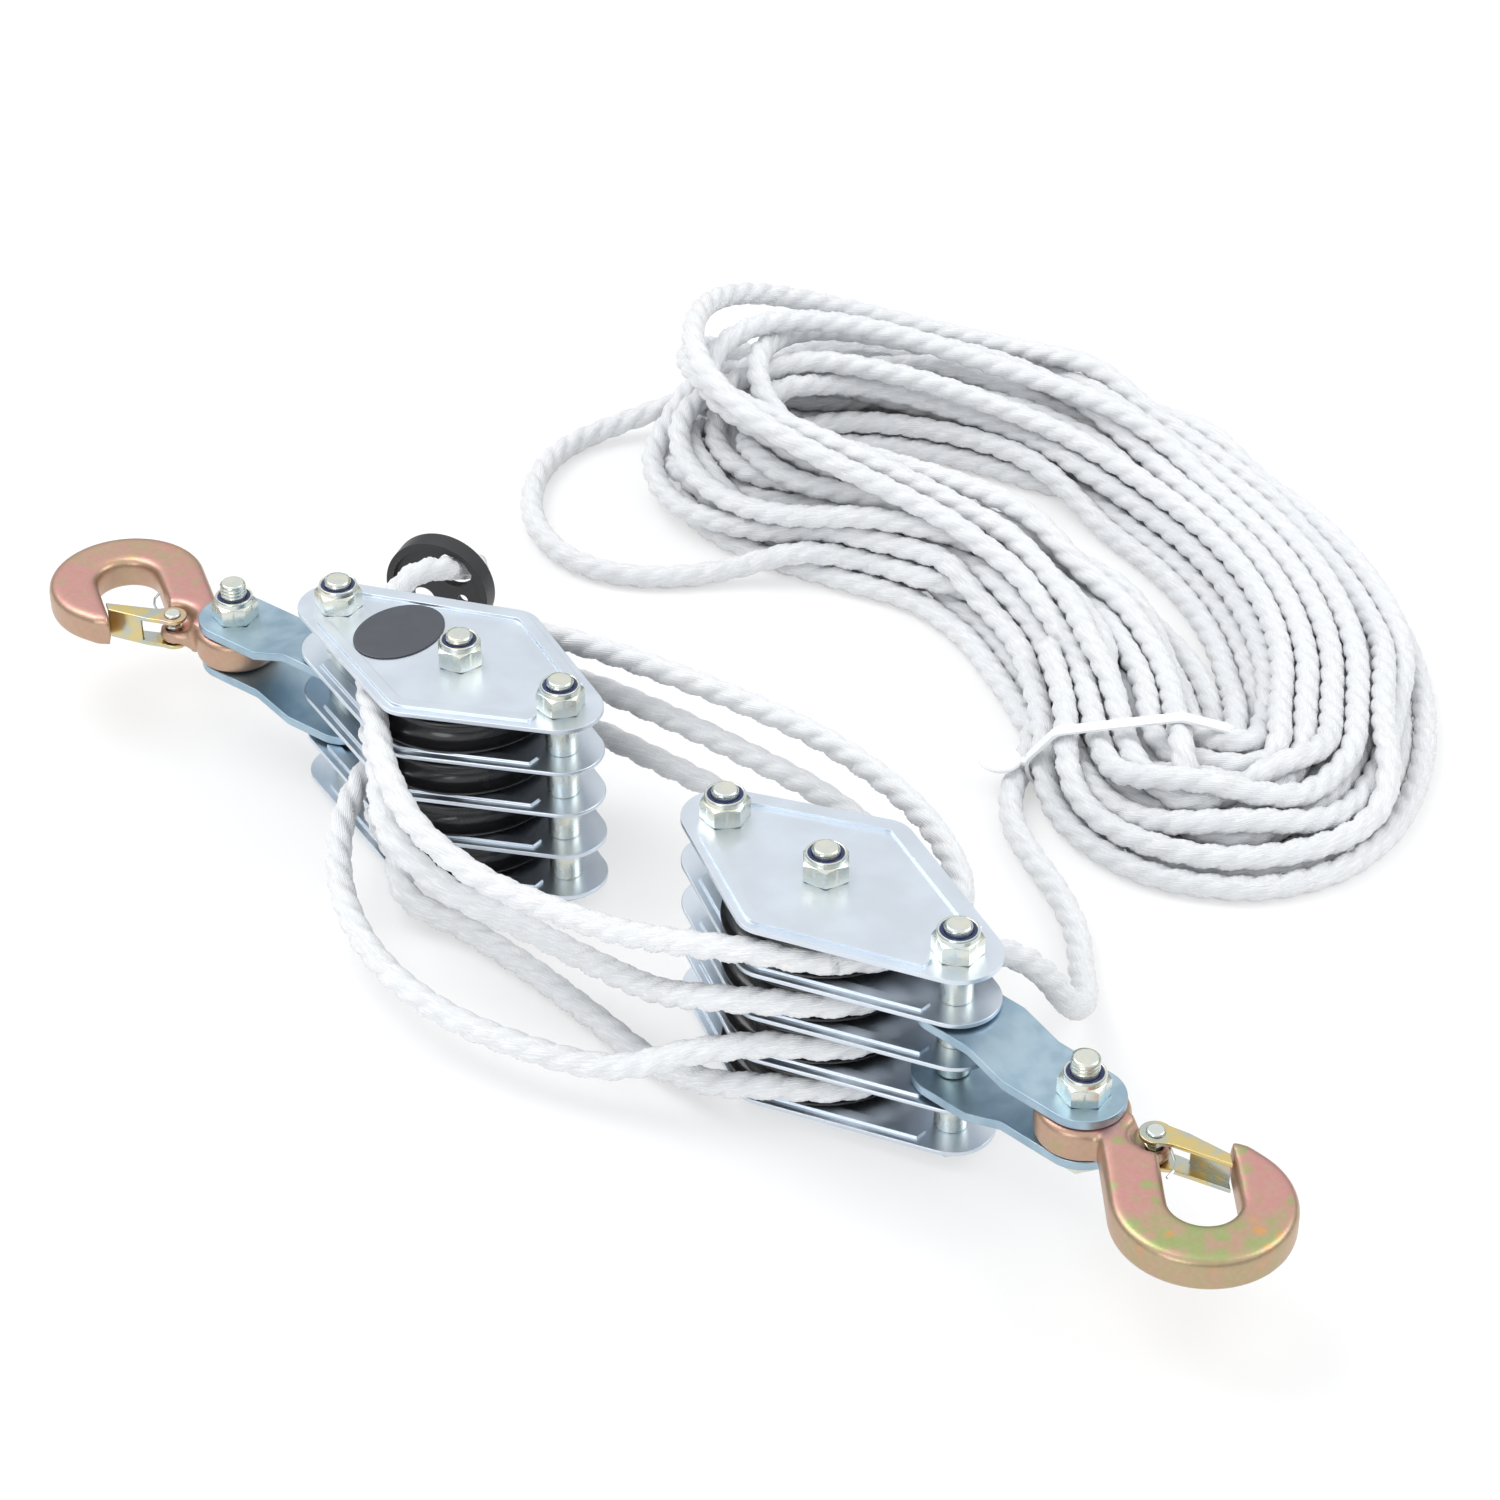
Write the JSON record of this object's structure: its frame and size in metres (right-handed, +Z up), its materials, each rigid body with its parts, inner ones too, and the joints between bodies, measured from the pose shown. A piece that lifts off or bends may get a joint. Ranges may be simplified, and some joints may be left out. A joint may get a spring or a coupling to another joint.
{
  "type": "rope come along hoist",
  "caption": "Rope come-along hoist: two stacked-sheave blocks with swivelling safety hooks, reeved together with white rope whose spare length lies in a tied hank",
  "frame": {"origin": "below the middle of the two blocks and their hooks, on the surface that they stand on", "axes": "+X from the travelling block to the fixed block, +Y towards the hank, +Z up along the sheave axles"},
  "size_m": [0.4932, 0.4131, 0.0792],
  "materials": {
    "plate_zinc": "bright blue-white zinc plating on pressed steel sheet",
    "bolt_zinc": "bright zinc plating on bolts, nuts and spacers",
    "hook_yellow": "yellow and pink iridescent zinc plating on forged steel",
    "latch_yellow": "yellow iridescent zinc plating on thin sheet",
    "sheave_black": "smooth black moulded plastic",
    "disc_black": "satin black moulded plastic",
    "nylon_navy": "nylon ring",
    "rope_white": "white three-strand laid synthetic rope",
    "tie_clear": "translucent white plastic tie",
    "label_slate": "plain dark slate oval",
    "spring_steel": "bright drawn spring wire"
  },
  "bodies": {
    "fixed_block": {"fixed_plate_1": "plate_zinc", "fixed_plate_2": "plate_zinc", "fixed_plate_3": "plate_zinc", "fixed_plate_4": "plate_zinc", "fixed_plate_5": "plate_zinc", "fixed_axle_bolt": "bolt_zinc", "fixed_end_bolts": "bolt_zinc", "fixed_hook_end_spacers": "bolt_zinc", "fixed_rope_end_spacers": "bolt_zinc", "fixed_lock_nuts": "bolt_zinc", "fixed_nut_inserts": "nylon_navy", "fixed_rope_turns": "rope_white", "near_strands": "rope_white", "far_strands": "rope_white", "hauling_tail": "rope_white", "rope_hank": "rope_white", "hank_tie": "tie_clear"},
    "travelling_block": {"travel_plate_1": "plate_zinc", "travel_plate_2": "plate_zinc", "travel_plate_3": "plate_zinc", "travel_plate_4": "plate_zinc", "travel_plate_5": "plate_zinc", "travel_axle_bolt": "bolt_zinc", "travel_end_bolts": "bolt_zinc", "travel_hook_end_spacers": "bolt_zinc", "travel_rope_end_spacers": "bolt_zinc", "travel_lock_nuts": "bolt_zinc", "travel_nut_inserts": "nylon_navy", "travel_rope_turns": "rope_white", "dead_end_rope": "rope_white", "stopper_disc": "disc_black", "label_plate": "label_slate"},
    "fixed_sheave_1_wheel": {"fixed_sheave_1": "sheave_black"},
    "fixed_sheave_2_wheel": {"fixed_sheave_2": "sheave_black"},
    "fixed_sheave_3_wheel": {"fixed_sheave_3": "sheave_black"},
    "fixed_sheave_4_wheel": {"fixed_sheave_4": "sheave_black"},
    "fixed_shackle": {"fixed_upper_strap": "plate_zinc", "fixed_lower_strap": "plate_zinc", "fixed_hook_bolt": "bolt_zinc", "fixed_hook_nut": "bolt_zinc", "fixed_hook_nut_insert": "nylon_navy"},
    "fixed_hook_swivel": {"fixed_hook": "hook_yellow", "fixed_latch_rivet": "bolt_zinc", "fixed_latch_spring": "spring_steel"},
    "fixed_latch_flap": {"fixed_latch": "latch_yellow"},
    "travel_sheave_1_wheel": {"travel_sheave_1": "sheave_black"},
    "travel_sheave_2_wheel": {"travel_sheave_2": "sheave_black"},
    "travel_sheave_3_wheel": {"travel_sheave_3": "sheave_black"},
    "travel_sheave_4_wheel": {"travel_sheave_4": "sheave_black"},
    "travel_shackle": {"travel_upper_strap": "plate_zinc", "travel_lower_strap": "plate_zinc", "travel_hook_bolt": "bolt_zinc", "travel_hook_nut": "bolt_zinc", "travel_hook_nut_insert": "nylon_navy"},
    "travel_hook_swivel": {"travel_hook": "hook_yellow", "travel_latch_rivet": "bolt_zinc", "travel_latch_spring": "spring_steel"},
    "travel_latch_flap": {"travel_latch": "latch_yellow"}
  },
  "joints": [
    {"name": "travel_slide", "type": "slide", "parent": "fixed_block", "child": "travelling_block", "axis": [-1, 0, 0], "range_m": [-0.03, 0.02], "deforming": ["near_strands", "far_strands"]},
    {"name": "fixed_sheave_1_turn", "type": "hinge", "parent": "fixed_block", "child": "fixed_sheave_1_wheel", "pos_m": [0.07653, 0.00554, 0.06085], "axis": [0, 0, 1], "continuous": true},
    {"name": "fixed_sheave_2_turn", "type": "hinge", "parent": "fixed_block", "child": "fixed_sheave_2_wheel", "pos_m": [0.07653, 0.00554, 0.04525], "axis": [0, 0, 1], "continuous": true},
    {"name": "fixed_sheave_3_turn", "type": "hinge", "parent": "fixed_block", "child": "fixed_sheave_3_wheel", "pos_m": [0.07653, 0.00554, 0.02965], "axis": [0, 0, 1], "continuous": true},
    {"name": "fixed_sheave_4_turn", "type": "hinge", "parent": "fixed_block", "child": "fixed_sheave_4_wheel", "pos_m": [0.07653, 0.00554, 0.01405], "axis": [0, 0, 1], "continuous": true},
    {"name": "fixed_shackle_swing", "type": "hinge", "parent": "fixed_block", "child": "fixed_shackle", "pos_m": [0.12653, 0.00554, 0.03745], "axis": [0, 0, 1], "range_deg": [-60, 30]},
    {"name": "fixed_hook_turn", "type": "hinge", "parent": "fixed_shackle", "child": "fixed_hook_swivel", "pos_m": [0.17353, 0.00554, 0.03745], "axis": [0, 0, 1], "range_deg": [-60, 60]},
    {"name": "fixed_latch_open", "type": "hinge", "parent": "fixed_hook_swivel", "child": "fixed_latch_flap", "pos_m": [0.19522, 0.01025, 0.03745], "axis": [0, 0, -1], "range_deg": [0, 28], "stiffness_Nm_per_rad": 0.002, "springref_deg": -11.46, "deforming": ["fixed_latch_spring"]},
    {"name": "travel_sheave_1_turn", "type": "hinge", "parent": "travelling_block", "child": "travel_sheave_1_wheel", "pos_m": [-0.07727, 0.00554, 0.06085], "axis": [0, 0, 1], "continuous": true},
    {"name": "travel_sheave_2_turn", "type": "hinge", "parent": "travelling_block", "child": "travel_sheave_2_wheel", "pos_m": [-0.07727, 0.00554, 0.04525], "axis": [0, 0, 1], "continuous": true},
    {"name": "travel_sheave_3_turn", "type": "hinge", "parent": "travelling_block", "child": "travel_sheave_3_wheel", "pos_m": [-0.07727, 0.00554, 0.02965], "axis": [0, 0, 1], "continuous": true},
    {"name": "travel_sheave_4_turn", "type": "hinge", "parent": "travelling_block", "child": "travel_sheave_4_wheel", "pos_m": [-0.07727, 0.00554, 0.01405], "axis": [0, 0, 1], "continuous": true},
    {"name": "travel_shackle_swing", "type": "hinge", "parent": "travelling_block", "child": "travel_shackle", "pos_m": [-0.12693, -0.00029, 0.03745], "axis": [0, 0, 1], "range_deg": [-20, 60]},
    {"name": "travel_hook_turn", "type": "hinge", "parent": "travel_shackle", "child": "travel_hook_swivel", "pos_m": [-0.17361, -0.00578, 0.03745], "axis": [0, 0, 1], "range_deg": [-30, 60]},
    {"name": "travel_latch_open", "type": "hinge", "parent": "travel_hook_swivel", "child": "travel_latch_flap", "pos_m": [-0.19304, -0.01653, 0.03745], "axis": [0, 0, -1], "range_deg": [0, 28], "stiffness_Nm_per_rad": 0.002, "springref_deg": -11.46, "deforming": ["travel_latch_spring"]}
  ],
  "couplings": [
    {"joint": "fixed_sheave_1_turn", "follows": "travel_slide", "rad_per_m": -245.18},
    {"joint": "fixed_sheave_2_turn", "follows": "travel_slide", "rad_per_m": -175.13},
    {"joint": "fixed_sheave_3_turn", "follows": "travel_slide", "rad_per_m": -105.08},
    {"joint": "fixed_sheave_4_turn", "follows": "travel_slide", "rad_per_m": -35.026},
    {"joint": "travel_sheave_1_turn", "follows": "travel_slide", "rad_per_m": -210.16},
    {"joint": "travel_sheave_2_turn", "follows": "travel_slide", "rad_per_m": -140.11},
    {"joint": "travel_sheave_3_turn", "follows": "travel_slide", "rad_per_m": -70.052}
  ]
}
